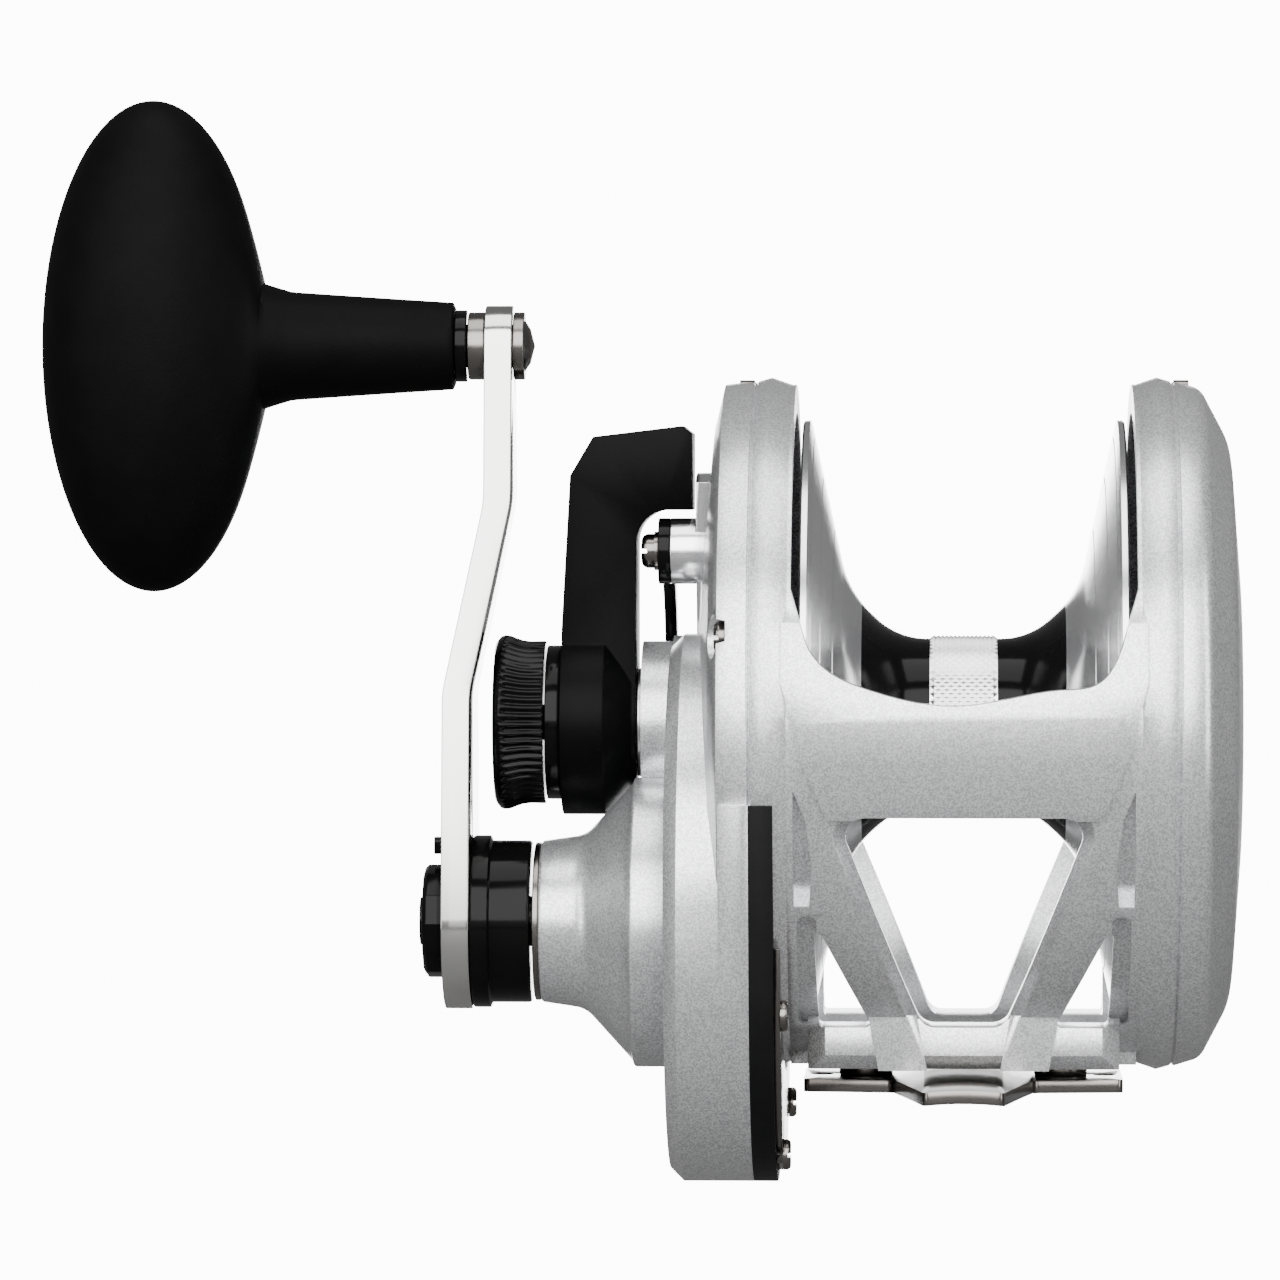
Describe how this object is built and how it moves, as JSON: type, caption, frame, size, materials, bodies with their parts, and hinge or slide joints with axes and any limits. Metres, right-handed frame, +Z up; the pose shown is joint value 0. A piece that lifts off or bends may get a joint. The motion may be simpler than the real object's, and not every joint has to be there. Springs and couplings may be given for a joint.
{
  "type": "trolling reel",
  "caption": "Two-speed lever-drag trolling reel: open frame with side plates, conical spool, bent crank with a T-shaped knob, drag lever and a stainless foot.",
  "frame": {"origin": "underside of the reel foot's wings, midway between the two side rings", "axes": "+X along the spool axis away from the handle, +Y towards the angler, +Z up from the foot"},
  "size_m": [0.167, 0.0966, 0.1503],
  "materials": {
    "silver_paint": "satin",
    "machined_alloy": "gloss",
    "polished_alloy": "gloss",
    "knurled_alloy": "satin",
    "black_bridge": "matte",
    "black_anodised": "gloss",
    "black_satin": "satin",
    "black_rubber": "matte",
    "stainless": "satin",
    "bearing_steel": "gloss",
    "gear_steel": "satin",
    "gear_bronze": "satin",
    "carbon_washer": "matte",
    "black_plastic": "satin"
  },
  "bodies": {
    "frame": {"reel_frame": "silver_paint", "handle_side_plate": "silver_paint", "tail_side_plate": "silver_paint", "gear_case_cone": "silver_paint", "quadrant_base": "machined_alloy", "quadrant_posts": "machined_alloy", "bridge_plate": "black_bridge", "quadrant_plate": "black_anodised", "reel_foot": "stainless", "bridge_inner_plate": "stainless", "foot_spacers": "stainless", "foot_screws": "stainless", "handle_plate_screws": "stainless", "seam_screws": "stainless", "bridge_screws": "stainless", "quadrant_screws": "stainless", "nose_washer": "stainless", "spool_shaft": "stainless", "sleeve_bearing_outer": "bearing_steel", "sleeve_bearing_inner": "bearing_steel", "crank_bearing_outer": "bearing_steel", "crank_bearing_inner": "bearing_steel", "dog_pin": "gear_steel"},
    "drive": {"drive_sleeve": "stainless", "high_pinion": "gear_steel", "low_pinion": "gear_steel", "drag_drive_plate": "gear_steel"},
    "spool": {"spool": "machined_alloy", "spool_knurled_band": "knurled_alloy", "spool_bearing_handle_side": "bearing_steel", "spool_bearing_tail_side": "bearing_steel", "drag_washer": "carbon_washer", "clicker_gear": "gear_steel"},
    "crank": {"gear_shaft": "stainless", "high_gear": "gear_bronze", "ratchet": "gear_steel", "crank_sleeve": "black_anodised", "crank_arm": "polished_alloy", "arm_nut": "black_anodised", "knob_ring": "stainless", "knob_washer": "stainless", "knob_post": "stainless"},
    "slow_gear": {"low_gear": "gear_bronze"},
    "knob": {"knob_grip": "black_rubber", "knob_collar": "black_anodised"},
    "push": {"low_gear_push": "black_anodised"},
    "catch": {"push_catch": "black_anodised"},
    "lever": {"drag_lever": "black_satin", "lever_bush": "gear_bronze", "lever_cam": "gear_steel"},
    "preset": {"preset_knob": "black_anodised", "preset_collar": "black_anodised"},
    "dog": {"anti_reverse_dog": "gear_steel"},
    "clicker": {"clicker_button": "black_plastic", "clicker_pawl": "gear_steel"}
  },
  "joints": [
    {"name": "crank_turn", "type": "hinge", "parent": "frame", "child": "crank", "pos_m": [-0.05, -0.00709, 0.0235], "axis": [1, 0, 0], "continuous": true},
    {"name": "drive_turn", "type": "hinge", "parent": "frame", "child": "drive", "pos_m": [-0.03, 0, 0.051], "axis": [1, 0, 0], "continuous": true},
    {"name": "spool_turn", "type": "hinge", "parent": "frame", "child": "spool", "pos_m": [0, 0, 0.051], "axis": [1, 0, 0], "continuous": true},
    {"name": "low_gear_turn", "type": "hinge", "parent": "frame", "child": "slow_gear", "pos_m": [-0.032, -0.00709, 0.0235], "axis": [1, 0, 0], "continuous": true},
    {"name": "knob_turn", "type": "hinge", "parent": "crank", "child": "knob", "pos_m": [-0.09, -0.00709, 0.1036], "axis": [1, 0, 0], "continuous": true},
    {"name": "push_slide", "type": "slide", "parent": "crank", "child": "push", "axis": [1, 0, 0], "range_m": [0, 0.002], "stiffness_N_per_m": 600},
    {"name": "catch_slide", "type": "slide", "parent": "crank", "child": "catch", "axis": [0, 0, -1], "range_m": [0, 0.001], "stiffness_N_per_m": 300},
    {"name": "lever_swing", "type": "hinge", "parent": "frame", "child": "lever", "pos_m": [-0.05, 0, 0.051], "axis": [1, 0, 0], "range_deg": [-72, 12]},
    {"name": "preset_turn", "type": "hinge", "parent": "lever", "child": "preset", "pos_m": [-0.06, 0, 0.051], "axis": [1, 0, 0], "range_deg": [-180, 180]},
    {"name": "dog_swing", "type": "hinge", "parent": "frame", "child": "dog", "pos_m": [-0.041, -0.01659, 0.0337], "axis": [1, 0, 0], "range_deg": [0, 6], "stiffness_Nm_per_rad": 0.002},
    {"name": "clicker_slide", "type": "slide", "parent": "frame", "child": "clicker", "axis": [0, -0.8192, 0.5736], "range_m": [0, 0.004]}
  ],
  "couplings": [
    {"joint": "drive_turn", "follows": "crank_turn", "ratio": -4.4615},
    {"joint": "spool_turn", "follows": "crank_turn", "ratio": -4.4615},
    {"joint": "low_gear_turn", "follows": "crank_turn", "ratio": 1.8738}
  ]
}
